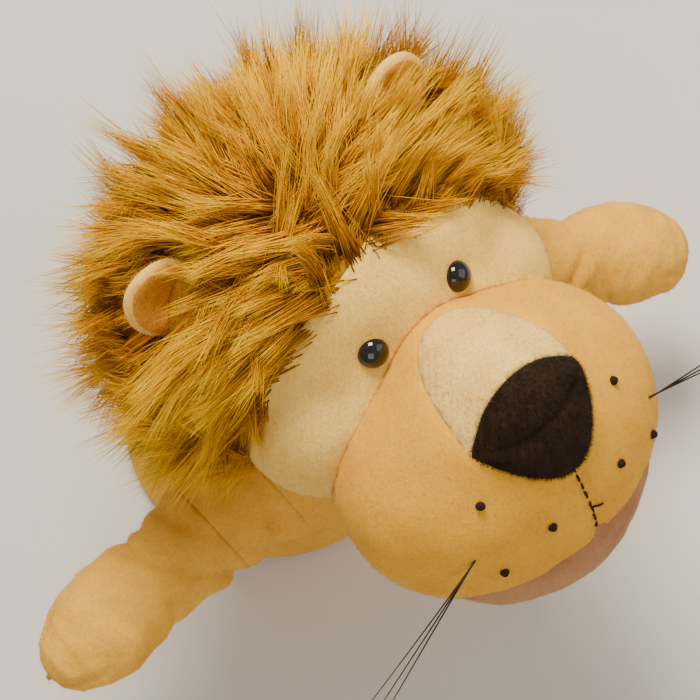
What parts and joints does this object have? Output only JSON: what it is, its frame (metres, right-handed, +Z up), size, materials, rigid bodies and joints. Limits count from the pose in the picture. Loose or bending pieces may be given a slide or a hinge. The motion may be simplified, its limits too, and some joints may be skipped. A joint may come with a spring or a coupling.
{
  "type": "plush lion glove puppet",
  "caption": "Plush lion glove puppet with a long golden mane, stuffed head and muzzle, soft chin, flexible ears and finger-worked arms.",
  "frame": {"origin": "centre of the round hand opening at the lower edge of the hem", "axes": "+Z up along the hand opening's axis, -Y towards the puppet's front, +X towards the puppet's left"},
  "size_m": [0.3151, 0.2578, 0.2551],
  "materials": {
    "body_plush": "short pile plush, tan",
    "face_plush": "short pile plush, cream",
    "muzzle_plush": "short pile plush, tan orange",
    "bridge_plush": "short pile plush, pale cream",
    "nose_plush": "short pile plush, brown black",
    "jaw_plush": "short pile plush, pinkish beige",
    "ear_plush": "short pile plush, tan",
    "lining_cloth": "plain woven lining",
    "stitch_thread": "embroidery thread, dark brown",
    "fibre_stuffing": "loose white fibre",
    "mane_fur": "long pile faux fur, golden brown",
    "eye_gloss": "moulded, high gloss black",
    "washer_plastic": "moulded, matte",
    "whisker_nylon": "nylon bristle, dark brown"
  },
  "bodies": {
    "glove": {"hem_band": "body_plush", "body_front_panel": "body_plush", "body_back_panel": "body_plush"},
    "neck": {"neck_collar": "body_plush"},
    "cradle": {"pocket_cuff": "lining_cloth"},
    "head": {"face_panel": "face_plush", "head_back_panel": "face_plush", "head_stuffing": "fibre_stuffing", "finger_pocket": "lining_cloth", "muzzle_panel": "muzzle_plush", "muzzle_stuffing": "fibre_stuffing", "nose_patch": "nose_plush", "nose_bridge_patch": "bridge_plush", "philtrum_stitch": "stitch_thread", "right_eye": "eye_gloss", "right_eye_washer": "washer_plastic", "left_eye": "eye_gloss", "left_eye_washer": "washer_plastic", "right_whisker_knots": "stitch_thread", "right_whiskers": "whisker_nylon", "left_whisker_knots": "stitch_thread", "left_whiskers": "whisker_nylon", "mane_right_panel": "mane_fur", "mane_left_panel": "mane_fur", "mane_crown_panel": "mane_fur", "mane_back_panel": "mane_fur"},
    "jaw": {"lower_jaw_panel": "jaw_plush", "jaw_stuffing": "fibre_stuffing"},
    "right_shoulder": {"right_shoulder_sleeve": "body_plush"},
    "right_upper_arm": {"right_upper_sleeve": "body_plush"},
    "right_paw": {"right_paw_shell": "body_plush", "right_paw_stuffing": "fibre_stuffing"},
    "left_shoulder": {"left_shoulder_sleeve": "body_plush"},
    "left_upper_arm": {"left_upper_sleeve": "body_plush"},
    "left_paw": {"left_paw_shell": "body_plush", "left_paw_stuffing": "fibre_stuffing"},
    "right_ear": {"right_ear_outer": "face_plush", "right_ear_inner": "ear_plush"},
    "left_ear": {"left_ear_outer": "face_plush", "left_ear_inner": "ear_plush"}
  },
  "joints": [
    {"name": "neck_turn", "type": "hinge", "parent": "glove", "child": "neck", "pos_m": [0.03, -0.042, 0.138], "axis": [0, 0, 1], "range_deg": [-22, 22]},
    {"name": "neck_nod", "type": "hinge", "parent": "neck", "child": "cradle", "pos_m": [0.03, -0.042, 0.138], "axis": [0.9659, 0.2588, 0], "range_deg": [-3.5, 12]},
    {"name": "neck_tilt", "type": "hinge", "parent": "cradle", "child": "head", "pos_m": [0.03, -0.042, 0.138], "axis": [0.2326, -0.8682, 0.4384], "range_deg": [-5, 5]},
    {"name": "jaw_open", "type": "hinge", "parent": "head", "child": "jaw", "pos_m": [0.03937, -0.08573, 0.13767], "axis": [0.9726, 0.2092, -0.1017], "range_deg": [0, 10], "stiffness_Nm_per_rad": 0.35},
    {"name": "right_shoulder_swing", "type": "hinge", "parent": "glove", "child": "right_shoulder", "pos_m": [-0.01499, -0.05241, 0.1], "axis": [0, 0, 1], "range_deg": [-12, 16]},
    {"name": "right_shoulder_raise", "type": "hinge", "parent": "right_shoulder", "child": "right_upper_arm", "pos_m": [-0.01499, -0.05241, 0.1], "axis": [-0.1736, 0.9848, 0], "range_deg": [-18, 10]},
    {"name": "right_elbow_bend", "type": "hinge", "parent": "right_upper_arm", "child": "right_paw", "pos_m": [-0.07301, -0.06264, 0.09691], "axis": [-0.0515, -0.0091, 0.9986], "range_deg": [-8, 25]},
    {"name": "left_shoulder_swing", "type": "hinge", "parent": "glove", "child": "left_shoulder", "pos_m": [0.07251, -0.02398, 0.1], "axis": [0, 0, -1], "range_deg": [-12, 16]},
    {"name": "left_shoulder_raise", "type": "hinge", "parent": "left_shoulder", "child": "left_upper_arm", "pos_m": [0.07251, -0.02398, 0.1], "axis": [-0.3256, -0.9455, 0], "range_deg": [-18, 10]},
    {"name": "left_elbow_bend", "type": "hinge", "parent": "left_upper_arm", "child": "left_paw", "pos_m": [0.1264, -0.04254, 0.08473], "axis": [-0.2447, 0.0843, -0.9659], "range_deg": [-8, 25]},
    {"name": "right_ear_flop", "type": "hinge", "parent": "head", "child": "right_ear", "pos_m": [-0.02005, -0.01891, 0.20345], "axis": [0.8406, 0.4062, 0.3584], "range_deg": [-18, 15], "stiffness_Nm_per_rad": 0.03},
    {"name": "left_ear_flop", "type": "hinge", "parent": "head", "child": "left_ear", "pos_m": [0.07818, 0.00222, 0.19317], "axis": [0.844, -0.0438, -0.5346], "range_deg": [-18, 15], "stiffness_Nm_per_rad": 0.03}
  ]
}
